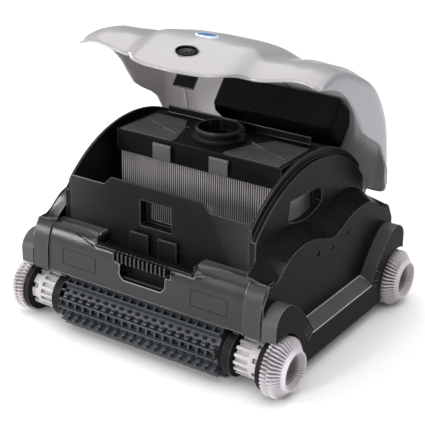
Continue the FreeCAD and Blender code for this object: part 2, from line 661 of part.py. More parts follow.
def lid_shell():
    """Domed lid, open underneath and cut away in front for its nose."""
    outer = loft_sections(LID_SECTIONS, lambda points: [])
    inner_sections = [(x * (LID_X - LID_WALL) / LID_X, offset_inwards(points, LID_WALL))
                      for x, points in LID_SECTIONS]
    inner = loft_sections(inner_sections, lambda points: [(150, 120), (-149, 120)])
    shell = outer.cut(inner).cut(lid_space_below())
    return shell.cut(box(-NOSE_X, NOSE_X, -200, -40, 100, 300)).removeSplitter()


def nose_skirt(points):
    """Lower edge of the nose's side walls, which clears the filter and the front wall."""
    return [(-40, points[-1][1] - 8), (-128, 220), (-138, 214), (-150, 182)]


def lid_nose():
    """Raised middle of the lid that comes down over the grip."""
    outer = loft_sections(NOSE_SECTIONS, nose_skirt)
    inner_sections = [(x * (NOSE_X - LID_WALL) / NOSE_X, offset_inwards(points, LID_WALL))
                      for x, points in NOSE_SECTIONS]
    inner_sections = [(x, points[:-1] + [(-38, points[-1][1])]) for x, points in inner_sections]
    inner = loft_sections(inner_sections, lambda points: [(-38, 180), (-180, 100)])
    nose = outer.cut(inner)
    return nose.cut(port_hole()).removeSplitter()


def oval(half_x, half_y, thick, place, tilt):
    """Flat oval disc facing along +Z, tipped up about X by the nose's slope."""
    disc = rod_z(half_y, 0.0, thick, 0, 0)
    stretch = FreeCAD.Matrix()
    stretch.A11 = half_x / half_y
    disc = disc.transformGeometry(stretch)
    disc.rotate(vec(0, 0, 0), vec(1, 0, 0), tilt)
    disc.translate(vec(*place))
    return disc


def port_hole():
    return oval(15.3, 10.3, 24.0, (PORT_PLACE[0], PORT_PLACE[1] + 10, PORT_PLACE[2] - 7), PORT_TILT)


def port_grille():
    """Perforated oval disc in the nose."""
    disc = oval(15.0, 10.0, 2.0, (PORT_PLACE[0], PORT_PLACE[1] + 1.5, PORT_PLACE[2] - 1.0), PORT_TILT)
    return disc


def lid_badge():
    return oval(17.0, 9.0, 1.6, BADGE_PLACE, BADGE_TILT)


def lid_catch():
    """Tongue under the nose that drops in front of the latch tabs."""
    return box(-15, 15, -TUB_Y - 11.5, -TUB_Y - 8.5, 150, 212)


def lid_duct():
    """Black float housing under the rear of the lid."""
    body = prism_x([(60, 204), (60, 248), (96, 248), (112, 232), (112, 196), (72, 196)], -88.0, 104.0)
    ends = [edge for edge in body.Edges if abs(edge.tangentAt(edge.FirstParameter).x) < 0.5]
    body = body.makeFillet(8.0, ends)
    hollow = prism_x([(64, 180), (64, 244), (94, 244), (108, 230), (108, 180)], -84.0, 100.0)
    return body.cut(hollow)


def lid_arms():
    """Arms from the lid's rear wall down to the hinge pins."""
    arms = []
    for sign in (-1, 1):
        x0, x1 = sorted((sign * ARM_IN_X, sign * ARM_OUT_X))
        web = prism_x([(138.0, 145.0), (138.5, 172.0), (146.5, 172.0), (148.6, 145.0)], x0, x1)
        arm = web.fuse(rod_x(5.8, x0, x1, HINGE_Y, HINGE_Z)).removeSplitter()
        arms.append(arm.cut(rod_x(HINGE_PIN_R + RUNNING, x0 - 1, x1 + 1, HINGE_Y, HINGE_Z)))
    return Part.makeCompound(arms)


def raised(shape):
    """Turns a lid piece from its closed place to the open rest pose."""
    return turned(shape, -LID_OPEN_DEG, HINGE_Y, HINGE_Z)


def mirrored_pair(nodes, name, shape):
    """Stores a +X piece and its mirror image as NAME_right and NAME_left."""
    nodes[name + "_right"] = shape
    nodes[name + "_left"] = mirror_x(shape)


def chassis_nodes(nodes):
    nodes["base_tray"] = base_tray()
    nodes["front_wall"] = front_wall()
    nodes["rear_wall"] = rear_wall()
    nodes["arch_wall_right"] = arch_wall().cut(side_window())
    nodes["arch_wall_left"] = mirror_x(arch_wall())
    mirrored_pair(nodes, "side_cover", side_cover())
    mirrored_pair(nodes, "fender_cover", fender_cover())
    nodes["front_bumper"] = front_bumper()
    nodes["rear_bumper"] = rear_bumper()
    nodes["grip_tray"] = grip_tray()
    nodes["grip_comb"] = grip_comb()
    nodes["latch_tabs"] = latch_tabs()
    mirrored_pair(nodes, "front_axle_carrier", axle_carrier(-1))
    mirrored_pair(nodes, "rear_axle_carrier", axle_carrier(1))
    nodes["pump_motor"] = pump_motor()
    nodes["drive_gearbox_left"] = mirror_x(gearbox(-1))
    nodes["drive_gearbox_right"] = gearbox(1)
    nodes["hinge_brackets"] = hinge_brackets()
    nodes["hinge_pins"] = hinge_pins()
    nodes["cord_gland"] = cord_gland()
    nodes["panel_screws"] = panel_screws()


def filter_nodes(nodes):
    nodes["filter_frame"] = filter_frame()
    nodes["filter_base"] = filter_base()
    nodes["pleats_front"] = pleats_long(-1)
    nodes["pleats_rear"] = pleats_long(1)
    mirrored_pair(nodes, "pleats", pleats_end())
    nodes["filter_collar"] = collar()
    nodes["filter_cover_right"] = filter_cover(1)
    nodes["filter_cover_left"] = filter_cover(-1)
    for name, x in (("filter_clip_left", -50.0), ("filter_clip_right", 38.0)):
        clip = filter_clip()
        clip.translate(vec(x, 0, 0))
        nodes[name] = clip


def drive_nodes(nodes):
    for name, side in (("front", -1), ("rear", 1)):
        nodes[name + "_axle_shaft"] = axle_shaft(side)
        nodes[name + "_brush"] = brush(side)
        mirrored_pair(nodes, name + "_gear_bushing", gear_bushing(side))
        mirrored_pair(nodes, name + "_wheel", wheel(side))
        nodes[name + "_intake_flap"] = intake_flap(side)
    nodes["front_drive_pinion"] = mirror_x(pinion(-1))
    nodes["rear_drive_pinion"] = pinion(1)
    nodes["pump_impeller"] = impeller()


def lid_nodes(nodes):
    pieces = {
        "lid_shell": lid_shell(), "lid_nose": lid_nose(), "lid_port_grille": port_grille(),
        "lid_badge": lid_badge(), "lid_catch": lid_catch(), "lid_duct": lid_duct(), "lid_arms": lid_arms()}
    shell = pieces["lid_shell"]
    nose = pieces["lid_nose"]
    for name, shape in pieces.items():
        if shape not in (shell, nose):
            shape = shape.cut(shell).cut(nose)
        nodes[name] = raised(shape)


def main():
    nodes = {}
    chassis_nodes(nodes)
    filter_nodes(nodes)
    drive_nodes(nodes)
    lid_nodes(nodes)
    for name, shape in nodes.items():
        shape.exportStep("parts/" + name + ".step")
        print(name, "valid" if shape.isValid() else "INVALID", len(shape.Solids), round(shape.Volume / 1000, 1))
    print(len(nodes), "nodes")


main()
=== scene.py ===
import json
import math
import bmesh
import bpy
import numpy as np
from mathutils import Matrix, Vector


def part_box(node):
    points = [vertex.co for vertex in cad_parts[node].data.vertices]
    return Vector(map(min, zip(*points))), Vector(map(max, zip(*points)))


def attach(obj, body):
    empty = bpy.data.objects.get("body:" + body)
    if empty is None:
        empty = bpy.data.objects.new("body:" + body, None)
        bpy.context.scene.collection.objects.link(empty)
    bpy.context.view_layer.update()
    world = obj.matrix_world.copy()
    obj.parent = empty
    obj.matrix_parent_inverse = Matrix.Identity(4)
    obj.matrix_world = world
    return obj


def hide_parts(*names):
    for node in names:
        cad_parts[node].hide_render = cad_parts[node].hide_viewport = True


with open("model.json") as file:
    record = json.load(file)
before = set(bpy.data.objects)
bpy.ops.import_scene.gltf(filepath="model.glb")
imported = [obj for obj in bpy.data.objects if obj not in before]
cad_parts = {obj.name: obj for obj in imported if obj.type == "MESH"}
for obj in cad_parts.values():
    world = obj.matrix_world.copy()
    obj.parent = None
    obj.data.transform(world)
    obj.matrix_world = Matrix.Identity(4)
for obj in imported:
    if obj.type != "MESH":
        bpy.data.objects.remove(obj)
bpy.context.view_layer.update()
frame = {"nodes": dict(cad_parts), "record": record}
nodes = frame["nodes"]

# Lengths below are in millimetres unless a comment says otherwise; MM turns them into Blender's metres.
MM = 0.001
AXLE_Y = 147.5
AXLE_Z = 38.3
# Hinge line of the lid as (y, z), and the turn from the shut lid to the open one.
HINGE = (143.0, 145.0)
LID_OPEN = math.radians(-39.0)


# ---- materials -------------------------------------------------------------------------------

# Sockets of a Mix node that mixes colours.
MIX_A = 6
MIX_B = 7
MIX_RESULT = 2
BLACK = (0, 0, 0, 1)
WHITE = (1, 1, 1, 1)
# Where along Pointiness an edge starts and ends getting its painted highlight, and where along a normal a face
# counts as facing for the painted light and shade by direction.
EDGE_HIGHLIGHT_SPAN = (0.53, 0.62)
FACING = (0.5, 0.75)
BUMP_DISTANCE = 0.0004  # metres
COAT_ROUGHNESS = 0.15


def new_material(name):
    mat = bpy.data.materials.new(name)
    mat.use_nodes = True
    tree = mat.node_tree
    return mat, tree, tree.nodes["Principled BSDF"]


def add(tree, kind, **values):
    """A new node; each value goes to the input of that name, or else to the node's own property."""
    node = tree.nodes.new(kind)
    for key, value in values.items():
        if key in node.inputs:
            node.inputs[key].default_value = value
        else:
            setattr(node, key, value)
    return node


def ramp(tree, source, low, high, at=(0.3, 0.7)):
    """Colour between two colours, driven by a 0-1 value."""
    node = add(tree, "ShaderNodeValToRGB")
    for element, place, colour in zip(node.color_ramp.elements, at, (low, high)):
        element.position = place
        element.color = colour
    tree.links.new(source, node.inputs["Fac"])
    return node.outputs["Color"]


def spread(tree, source, low, high):
    """Value from low to high, driven by a 0-1 value."""
    node = add(tree, "ShaderNodeMapRange")
    node.inputs["To Min"].default_value = low
    node.inputs["To Max"].default_value = high
    tree.links.new(source, node.inputs["Value"])
    return node.outputs["Result"]


def mix_in(tree, factor, colour, other):
    """The colour, blended by factor into a fixed other one."""
    node = add(tree, "ShaderNodeMix", data_type="RGBA")
    tree.links.new(factor, node.inputs["Factor"])
    tree.links.new(colour, node.inputs[MIX_A])
    node.inputs[MIX_B].default_value = (*other, 1)
    return node.outputs[MIX_RESULT]


def noise(tree, place, **values):
    """Noise laid out in the object's own space."""
    node = add(tree, "ShaderNodeTexNoise", **values)
    tree.links.new(place.outputs["Object"], node.inputs["Vector"])
    return node.outputs["Fac"]


def bump(tree, shader, height, strength):
    node = add(tree, "ShaderNodeBump", Strength=strength, Distance=BUMP_DISTANCE)
    tree.links.new(height, node.inputs["Height"])
    tree.links.new(node.outputs["Normal"], shader.inputs["Normal"])


def moulded(name, low, high, roughness=(0.35, 0.5), grain=0.05, grain_scale=2500.0, blotch=18.0,
            metallic=0.0, coat=0.0, specular=0.5, edge=None, painted_light_by_facing=None):
    """Moulded plastic: blotchy colour and roughness, a fine grain, and paler edges, which are a painted
    highlight.

    The last argument is (axis, colour, specular): faces that look along that axis get this other colour and
    specular instead. This is painted light and shade: it imitates the lighting of one scene, so a scene with
    other lights is better without it.
    """
    mat, tree, shader = new_material(name)
    place = add(tree, "ShaderNodeTexCoord")
    patches = noise(tree, place, Scale=blotch, Detail=4.0, Roughness=0.6)
    colour = ramp(tree, patches, (*low, 1), (*high, 1))
    # Paler colour where the surface is sharp: a painted highlight along the edges.
    if edge:
        shape = add(tree, "ShaderNodeNewGeometry")
        edge_highlight_mask = ramp(tree, shape.outputs["Pointiness"], BLACK, WHITE, EDGE_HIGHLIGHT_SPAN)
        colour = mix_in(tree, edge_highlight_mask, colour, edge)
    shader.inputs["Specular IOR Level"].default_value = specular
    # Painted light and shade by direction: faces looking along the axis get their own colour and specular.
    if painted_light_by_facing:
        axis, painted_light_colour, painted_light_specular = painted_light_by_facing
        parts = add(tree, "ShaderNodeSeparateXYZ")
        tree.links.new(place.outputs["Normal"], parts.inputs["Vector"])
        size = add(tree, "ShaderNodeMath", operation="ABSOLUTE")
        tree.links.new(parts.outputs[axis], size.inputs[0])
        facing = ramp(tree, size.outputs["Value"], BLACK, WHITE, FACING)
        colour = mix_in(tree, facing, colour, painted_light_colour)
        tree.links.new(spread(tree, facing, specular, painted_light_specular), shader.inputs["Specular IOR Level"])
    tree.links.new(colour, shader.inputs["Base Color"])
    tree.links.new(spread(tree, patches, *roughness), shader.inputs["Roughness"])
    bump(tree, shader, noise(tree, place, Scale=grain_scale, Detail=2.0), grain)
    shader.inputs["Metallic"].default_value = metallic
    shader.inputs["Coat Weight"].default_value = coat
    shader.inputs["Coat Roughness"].default_value = COAT_ROUGHNESS
    return mat


def pleat_cloth():
    """Spun filter paper: soft fibres, and dust gathered in patches."""
    mat, tree, shader = new_material("pleat_fabric")
    place = add(tree, "ShaderNodeTexCoord")
    fibres = noise(tree, place, Scale=900.0, Detail=5.0, Roughness=0.8)
    dust = noise(tree, place, Scale=22.0, Detail=3.0)
    mix = add(tree, "ShaderNodeMix", data_type="RGBA", blend_type="MULTIPLY")
    mix.inputs["Factor"].default_value = 1.0
    tree.links.new(ramp(tree, fibres, (0.60, 0.565, 0.58, 1), (0.72, 0.685, 0.70, 1)), mix.inputs[MIX_A])
    tree.links.new(ramp(tree, dust, (0.88, 0.88, 0.88, 1), WHITE), mix.inputs[MIX_B])
    tree.links.new(mix.outputs[MIX_RESULT], shader.inputs["Base Color"])
    bump(tree, shader, fibres, 0.3)
    shader.inputs["Roughness"].default_value = 0.9
    shader.inputs["Sheen Weight"].default_value = 0.3
    return mat


SHELL = moulded("shell_black", (0.006, 0.006, 0.007), (0.010, 0.010, 0.011), (0.24, 0.34), specular=0.48,
                edge=(0.16, 0.165, 0.17))
# Side covers: faces looking along Y are paler and glossy, a painted highlight on the front corners; the other
# faces are near black with almost no specular.
FLANK = moulded("flank_black", (0.004, 0.004, 0.004), (0.007, 0.007, 0.008), (0.3, 0.4), specular=0.04,
                painted_light_by_facing=("Y", (0.017, 0.017, 0.018), 0.5))
# Fender covers: paler grey, except faces looking along X, which are near black: painted light on the tops and
# painted shade on the outer sides.
FENDER = moulded("fender_black", (0.052, 0.053, 0.055), (0.070, 0.071, 0.074), (0.3, 0.4), specular=0.25,
                 painted_light_by_facing=("X", (0.005, 0.005, 0.006), 0.035))
TRIM = moulded("trim_black", (0.005, 0.005, 0.005), (0.008, 0.008, 0.008), (0.36, 0.5), specular=0.075,
               edge=(0.08, 0.08, 0.082))
DARK = moulded("inner_black", (0.003, 0.003, 0.003), (0.006, 0.006, 0.006), (0.45, 0.6), specular=0.1)
PLAIN = moulded("plain_black", (0.012, 0.012, 0.013), (0.017, 0.017, 0.018), (0.3, 0.4), specular=0.3)
COVER = moulded("cover_grey", (0.045, 0.050, 0.053), (0.068, 0.073, 0.077), (0.3, 0.42), specular=0.4,
                edge=(0.16, 0.16, 0.16))
CLIP = moulded("clip_grey", (0.07, 0.07, 0.072), (0.10, 0.10, 0.102), (0.4, 0.5), edge=(0.25, 0.25, 0.25))
# Lid: faces looking along X get a slightly darker, bluer grey, painted shade on the lid's sides.
LID = moulded("lid_silver", (0.350, 0.333, 0.343), (0.366, 0.349, 0.359), (0.27, 0.30), grain=0.02,
              grain_scale=5000.0, blotch=5.0, metallic=0.1, coat=0.3, painted_light_by_facing=("X", (0.34, 0.33, 0.365), 0.5))
# The inside is much paler than the outer skin of the same plastic: painted light in the lid's hollow.
LID_INSIDE = moulded("lid_inside", (0.56, 0.53, 0.55), (0.63, 0.60, 0.62), (0.35, 0.5), grain=0.03)
WHEEL = moulded("wheel_grey", (0.58, 0.54, 0.575), (0.68, 0.64, 0.675), (0.45, 0.6), grain=0.06)
BUSH = moulded("bush_white", (0.42, 0.40, 0.41), (0.50, 0.48, 0.49), (0.4, 0.55))
BRUSH = moulded("brush_slate", (0.040, 0.044, 0.049), (0.060, 0.066, 0.072), (0.38, 0.5), grain=0.08,
                grain_scale=1500.0, specular=0.3, edge=(0.09, 0.096, 0.104))
STEEL = moulded("steel", (0.5, 0.51, 0.53), (0.6, 0.61, 0.63), (0.25, 0.35), metallic=1.0, grain=0.03)
GEAR = moulded("gear_plastic", (0.7, 0.69, 0.66), (0.8, 0.79, 0.77), (0.4, 0.55))
BLUE = moulded("blue_gloss", (0.01, 0.10, 0.30), (0.02, 0.15, 0.38), (0.12, 0.2), coat=0.8)
RING = moulded("pale_ring", (0.55, 0.68, 0.80), (0.65, 0.76, 0.86), (0.12, 0.2), coat=0.8)
PLEAT = pleat_cloth()
# Paler materials for the rounded edges of the CAD nodes and for the sill rails: painted highlights along edges
# and crests.
EDGE_HIGHLIGHT = moulded("painted_edge_highlight", (0.20, 0.205, 0.21), (0.30, 0.305, 0.31), (0.22, 0.32), specular=0.5)
CREST_HIGHLIGHT = moulded("painted_crest_highlight", (0.40, 0.405, 0.41), (0.52, 0.525, 0.53), (0.2, 0.3), specular=0.6)
TRIM_EDGE_HIGHLIGHT = moulded("painted_trim_highlight", (0.035, 0.036, 0.037), (0.06, 0.061, 0.063), (0.25, 0.35), specular=0.4)
# Dark material for the faces deep in each pleat: painted shade.
FOLD_SHADE = moulded("pleat_fold_shade", (0.10, 0.094, 0.097), (0.15, 0.141, 0.145), (0.8, 0.9), grain=0.2)
SHADE = moulded("wheel_valley", (0.24, 0.22, 0.235), (0.31, 0.285, 0.305), (0.5, 0.65))
# Paler grey for the tilted facets on the bumper: a painted highlight.
FACET_HIGHLIGHT = moulded("bumper_facet_highlight", (0.045, 0.047, 0.05), (0.07, 0.073, 0.077), (0.3, 0.4), specular=0.4)


# ---- helpers ---------------------------------------------------------------------------------

WELD_DISTANCE = 1e-6  # metres
BEVEL_SEGMENTS = 2
BEVEL_ANGLE = math.radians(35.0)


def piece(name, verts, faces, mat, body, replaced=(), smooth=True):
    """A new mesh piece, given in millimetres."""
    mesh = bpy.data.meshes.new(name)
    mesh.from_pydata([tuple(c * MM for c in v) for v in verts], [], faces)
    mesh.validate()
    for poly in mesh.polygons:
        poly.use_smooth = smooth
    obj = bpy.data.objects.new(name, mesh)
    bpy.context.scene.collection.objects.link(obj)
    for m in (mat if isinstance(mat, (list, tuple)) else [mat]):
        mesh.materials.append(m)
    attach(obj, body)
    if replaced:
        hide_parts(*replaced)
    return obj


def recalc(obj):
    """Joins the points that coincide and turns all faces outwards."""
    mesh = bmesh.new()
    mesh.from_mesh(obj.data)
    bmesh.ops.remove_doubles(mesh, verts=mesh.verts, dist=WELD_DISTANCE)
    bmesh.ops.recalc_face_normals(mesh, faces=mesh.faces)
    mesh.to_mesh(obj.data)
    mesh.free()


def modifier(obj, kind, name, **values):
    mod = obj.modifiers.new(name, kind)
    for key, value in values.items():
        setattr(mod, key, value)


def soften(obj, width, edge_highlight_material=None):
    """Rounds the hard edges of a CAD node with modifiers, and can give the rounded faces a paler material, a
    painted highlight.
    """
    modifier(obj, "WELD", "weld", merge_threshold=2 * WELD_DISTANCE)
    slot_index = -1
    if edge_highlight_material:
        obj.data.materials.append(edge_highlight_material)
        slot_index = len(obj.data.materials) - 1
    modifier(obj, "BEVEL", "edges", width=width * MM, segments=BEVEL_SEGMENTS, limit_method="ANGLE",
             angle_limit=BEVEL_ANGLE, harden_normals=False, miter_outer="MITER_ARC", material=slot_index)
    modifier(obj, "WEIGHTED_NORMAL", "normals", keep_sharp=True)


def grid_faces(rows, columns, wrap=False):
    """Quads of a grid of points given row by row; wrap joins the last column to the first."""
    faces = []
    for r in range(rows - 1):
        for c in range(columns if wrap else columns - 1):
            d = (c + 1) % columns
            faces.append((r * columns + c, r * columns + d, (r + 1) * columns + d, (r + 1) * columns + c))
    return faces


class Boxes:
    """Collects many small blocks and sheets into one mesh."""

    def __init__(self):
        self.verts = []
        self.faces = []

    def block(self, corners):
        """Eight corners: the lower four round, then the upper four round."""
        n = len(self.verts)
        self.verts += [tuple(c) for c in corners]
        for f in ((0, 3, 2, 1), (4, 5, 6, 7), (0, 1, 5, 4), (1, 2, 6, 5), (2, 3, 7, 6), (3, 0, 4, 7)):
            self.faces.append(tuple(n + i for i in f))

    def sheet(self, points, columns, wrap=False):
        """A grid of points given row by row."""
        n = len(self.verts)
        self.verts += [tuple(p) for p in points]
        for f in grid_faces(len(points) // columns, columns, wrap):
            self.faces.append(tuple(n + i for i in f))


def lathe_x(profile, around, y0, z0, radius_of=None):
    """Grid of points round an axis along X: profile is (x, r); radius_of may change r by angle."""
    points = []
    for x, r in profile:
        for k in range(around):
            angle = 2 * math.pi * k / around
            radius = radius_of(x, r, angle) if radius_of else r
            points.append((x, y0 + radius * math.cos(angle), z0 + radius * math.sin(angle)))
    return points


# ---- lid -------------------------------------------------------------------------------------
# Outline of the lid as (y, z) points, at a few distances x from its middle, with the lid shut.
LID_SECTIONS = [
    (0, [(-185, 154), (-169, 184), (-144, 220), (-111, 241), (-75, 255.5),
         (-40, 264), (28, 270), (97, 258), (133, 216), (152, 161)]),
    (40, [(-181, 157), (-165, 187), (-142, 219), (-109, 240), (-74, 255),
          (-40, 262), (28, 268), (96, 255), (133, 215), (152, 161)]),
    (66, [(-177, 163), (-163, 188), (-142, 218), (-108, 237), (-73, 252),
          (-40, 260), (26, 266), (94, 253), (132, 213), (152, 161)]),
    (75, [(-170, 168), (-158, 190), (-140, 215), (-107, 233), (-72, 248),
          (-40, 256), (22, 264), (93, 252), (132, 211), (152, 161)]),
    (88, [(-155, 174), (-149, 191), (-137, 206.5), (-107, 224), (-74, 240),
          (-40, 252), (20, 261), (92, 252), (134, 210), (152, 161)]),
    (100, [(-152, 175), (-147, 191), (-137, 206.5), (-108, 224), (-76, 240),
           (-43, 252), (18, 261.5), (91, 252), (134, 209), (152, 161)]),
    (122, [(-152, 179), (-147, 193), (-138, 207), (-108, 227), (-80, 241.5),
           (-47, 252), (15, 262), (90, 250), (135, 209), (152, 161)]),
    (136, [(-152, 182), (-147, 195), (-138, 206.5), (-109, 227), (-80, 240),
           (-49, 251), (11, 260), (86, 246.5), (134, 207), (152, 161)]),
    (150, [(-151, 184), (-146, 197), (-138, 207), (-110, 227), (-80, 239.5),
           (-50, 250), (8, 259), (82, 242.5), (133, 204.5), (152, 161)]),
    (163, [(-149, 184), (-144, 195), (-136, 204), (-111, 223), (-82, 235),
           (-52, 244), (4, 254), (74, 236), (125, 196), (149, 161)]),
    (172, [(-147, 182), (-142, 193), (-135, 201), (-112, 220), (-83, 233),
           (-53, 242), (2, 250), (64, 232), (113, 192), (139, 161)]),
    (177, [(-144, 182), (-139, 191), (-133, 198), (-113, 216), (-84, 229),
           (-55, 237), (0, 243), (57, 226), (99, 191), (126, 164)]),
    (179, [(-143, 182), (-138, 189), (-132, 196), (-114, 211), (-85, 223),
           (-56, 230), (0, 235), (54, 219), (91, 193), (119, 166)]),
]
# Lower edge of the lid's side walls, front to rear.
LID_EDGE = [(-153, 177), (-143, 182), (-117, 195), (-94, 202), (-71, 203), (-48, 200.5), (-25, 193.5),
            (-3, 188), (18, 190), (43, 195), (60, 195.5), (90, 185), (127, 173), (153, 163.5)]
# Distances from the middle at which the skin has a line of points. They are closer beside the hood and the ends.
LID_STATIONS = [0, 10, 20, 30, 40, 50, 58, 64, 69, 73, 76, 79, 82, 85, 88, 92, 97, 103, 110, 118, 127, 136, 145,
                152, 158, 163, 167, 170, 173, 175, 177, 178, 179]
LID_ROWS = 72
LID_WALL = 3.0
SIDE_ROWS = 9
SIDE_BULGE = 1.2
SIDE_LEAST = 0.05
# Ribs inside the lid: x, first and last row of RIB_ROWS, and the rib's section as (across, depth).
RIBS = ((0, 13, 34), (-160, 5, 33), (160, 5, 33))
RIB_ROWS = 40
RIB_SECTION = ((-1.6, 2.6), (-0.8, 7.0), (0.8, 7.0), (1.6, 2.6))
# Port and badge: place on the shut lid, tilt in degrees, and half sizes of the oval.
PORT_PLACE = (0.0, -166.0, 189.5)
PORT_TILT = 58.0
PORT_HOLE = (15.4, 10.0)
PORT_SIZE = (15.2, 9.8)
BADGE_PLACE = (0.0, -138.0, 224.5)
BADGE_TILT = 38.0
BADGE_SIZE = (17, 9)
OVAL_POINTS = 48


def steady(xs, ys, at):
    """Monotone cubic through (xs, ys), read at the points `at`."""
    xs = np.asarray(xs, float)
    ys = np.asarray(ys, float)
    step = np.diff(xs)
    rise = np.diff(ys) / step
    slope = np.zeros(len(xs))
    for i in range(1, len(xs) - 1):
        if rise[i - 1] * rise[i] > 0:
            w1 = 2 * step[i] + step[i - 1]
            w2 = step[i] + 2 * step[i - 1]
            slope[i] = (w1 + w2) / (w1 / rise[i - 1] + w2 / rise[i])
    slope[0] = rise[0]
    slope[-1] = rise[-1]
    k = np.clip(np.searchsorted(xs, at) - 1, 0, len(xs) - 2)
    t = (at - xs[k]) / step[k]
    return ((1 + 2 * t) * (1 - t) ** 2 * ys[k] + t * (1 - t) ** 2 * step[k] * slope[k]
            + t * t * (3 - 2 * t) * ys[k + 1] + t * t * (t - 1) * step[k] * slope[k + 1])


def along(points, count):
    """A smooth line of `count` points through the given ones, evenly spaced between them."""
    points = np.asarray(points, float)
    gaps = np.hypot(*np.diff(points, axis=0).T)
    s = np.concatenate([[0], np.cumsum(gaps)])
    slopes = np.gradient(points, s, axis=0)
    at = np.linspace(0, s[-1], count)
    k = np.clip(np.searchsorted(s, at) - 1, 0, len(s) - 2)
    h = (s[k + 1] - s[k])[:, None]
    t = ((at - s[k])[:, None]) / h
    return ((1 + 2 * t) * (1 - t) ** 2 * points[k] + t * (1 - t) ** 2 * h * slopes[k]
            + t * t * (3 - 2 * t) * points[k + 1] + t * t * (t - 1) * h * slopes[k + 1])


def opened(point):
    """Turns a point of the shut lid to where it is with the lid up."""
    x, y, z = point
    dy = y - HINGE[0]
    dz = z - HINGE[1]
    return (x, HINGE[0] + dy * math.cos(LID_OPEN) - dz * math.sin(LID_OPEN),
            HINGE[1] + dy * math.sin(LID_OPEN) + dz * math.cos(LID_OPEN))


def lid_outline(x):
    """Control points of the lid's outline at a distance x from its middle."""
    stations = [section[0] for section in LID_SECTIONS]
    out = []
    for i in range(len(LID_SECTIONS[0][1])):
        out.append([float(steady(stations, [s[1][i][axis] for s in LID_SECTIONS], np.array([abs(x)]))[0])
                    for axis in (0, 1)])
    return out


def lid_side(sign, top):
    """Lines of points from the lid's outermost line down to its lower edge, on one side."""
    edge_y = [p[0] for p in LID_EDGE]
    edge_z = [p[1] for p in LID_EDGE]
    lines = []
    for step in range(1, SIDE_ROWS + 1):
        part = step / SIDE_ROWS
        x = sign * (LID_STATIONS[-1] + SIDE_BULGE * math.sin(math.pi * part * 0.5))
        line = []
        for _, y, z in top:
            bottom = float(np.interp(y, edge_y, edge_z))
            line.append((x, y, z + (min(bottom, z - SIDE_LEAST) - z) * part))
        lines.append(line)
    return lines


def make_lid():
    """The lid's skin, with its nose and side walls in one piece and a hole for the port."""
    columns = []
    for x in [-x for x in LID_STATIONS[:0:-1]] + LID_STATIONS:
        columns.append([(x, y, z) for y, z in along(lid_outline(x), LID_ROWS)])
    columns = lid_side(-1, columns[0])[::-1] + columns + lid_side(1, columns[-1])
    points = [opened(p) for column in columns for p in column]
    obj = piece("lid_skin", points, grid_faces(len(columns), LID_ROWS), [LID, LID_INSIDE], "lid",
                ("lid_shell", "lid_nose"))
    recalc(obj)
    modifier(obj, "SOLIDIFY", "wall", thickness=LID_WALL * MM, offset=-1.0, material_offset=1,
             material_offset_rim=0, use_even_offset=True)
    cut_port(obj)


def oval_ring(half, place, tilt, rows):
    """Rows of an oval, each (scale, height above the lid's surface), at a place on the shut lid."""
    slope = math.radians(tilt)
    points = []
    for grow, height in rows:
        for k in range(OVAL_POINTS):
            angle = 2 * math.pi * k / OVAL_POINTS
            u = half[0] * grow * math.cos(angle)
            v = half[1] * grow * math.sin(angle)
            y = place[1] + v * math.cos(slope) - height * math.sin(slope)
            z = place[2] + v * math.sin(slope) + height * math.cos(slope)
            points.append(opened((place[0] + u, y, z)))
    return points


def cut_port(lid):
    """Cuts the oval port through the nose, then keeps the result as the lid's mesh."""
    rows = [(0.001, -9.0), (1.0, -9.0), (1.0, 9.0), (0.001, 9.0)]
    mesh = bpy.data.meshes.new("port_tool")
    mesh.from_pydata([tuple(c * MM for c in p) for p in oval_ring(PORT_HOLE, PORT_PLACE, PORT_TILT, rows)], [],
                     grid_faces(len(rows), OVAL_POINTS, True))
    tool = bpy.data.objects.new("port_tool", mesh)
    bpy.context.scene.collection.objects.link(tool)
    recalc(tool)
    modifier(lid, "BOOLEAN", "port", object=tool, operation="DIFFERENCE", solver="EXACT")
    bpy.context.view_layer.update()
    depsgraph = bpy.context.evaluated_depsgraph_get()
    result = bpy.data.meshes.new_from_object(lid.evaluated_get(depsgraph))
    old = lid.data
    lid.modifiers.clear()
    lid.data = result
    bpy.data.meshes.remove(old)
    bpy.data.objects.remove(tool)
    bpy.data.meshes.remove(mesh)


def make_lid_ribs():
    """Moulded ribs on the lid's inside, running front to rear."""
    for index, (x, first, last) in enumerate(RIBS):
        line = along(lid_outline(x), RIB_ROWS)
        points = []
        for k in range(first, last + 1):
            tangent = line[min(k + 1, RIB_ROWS - 1)] - line[k - 1]
            inward = np.array([tangent[1], -tangent[0]]) / np.hypot(*tangent)
            for u, depth in RIB_SECTION:
                y, z = line[k] + inward * depth
                points.append(opened((x + u, y, z)))
        piece("lid_rib_%d" % index, points, grid_faces(last - first + 1, len(RIB_SECTION)), LID_INSIDE, "lid")


def make_oval(name, half, place, tilt, rows, mat, replaced=()):
    """A piece of the lid made of oval rows."""
    piece(name, oval_ring(half, place, tilt, rows), grid_faces(len(rows), OVAL_POINTS, True), mat, "lid",
          replaced)


def make_port():
    """Dark dished grille in the nose's port, with concentric bars."""
    rim = [(1.0, 1.2), (1.03, 0.6), (1.0, -2.5), (0.93, -2.6), (0.9, -1.0), (0.93, 0.9), (1.0, 1.2)]
    make_oval("port_rim", PORT_SIZE, PORT_PLACE, PORT_TILT, rim, TRIM)
    dish = [(0.95, -2.2), (0.7, -3.0), (0.4, -3.6), (0.1, -3.8), (0.01, -3.8)]
    make_oval("port_dish", PORT_SIZE, PORT_PLACE, PORT_TILT, dish, DARK, ("lid_port_grille",))
    for index, grow in enumerate((0.3, 0.55, 0.78)):
        ring = [(grow - 0.03, -3.4), (grow - 0.02, -2.0), (grow + 0.02, -2.0), (grow + 0.03, -3.4)]
        make_oval("port_bar_%d" % index, PORT_SIZE, PORT_PLACE, PORT_TILT, ring, COVER)


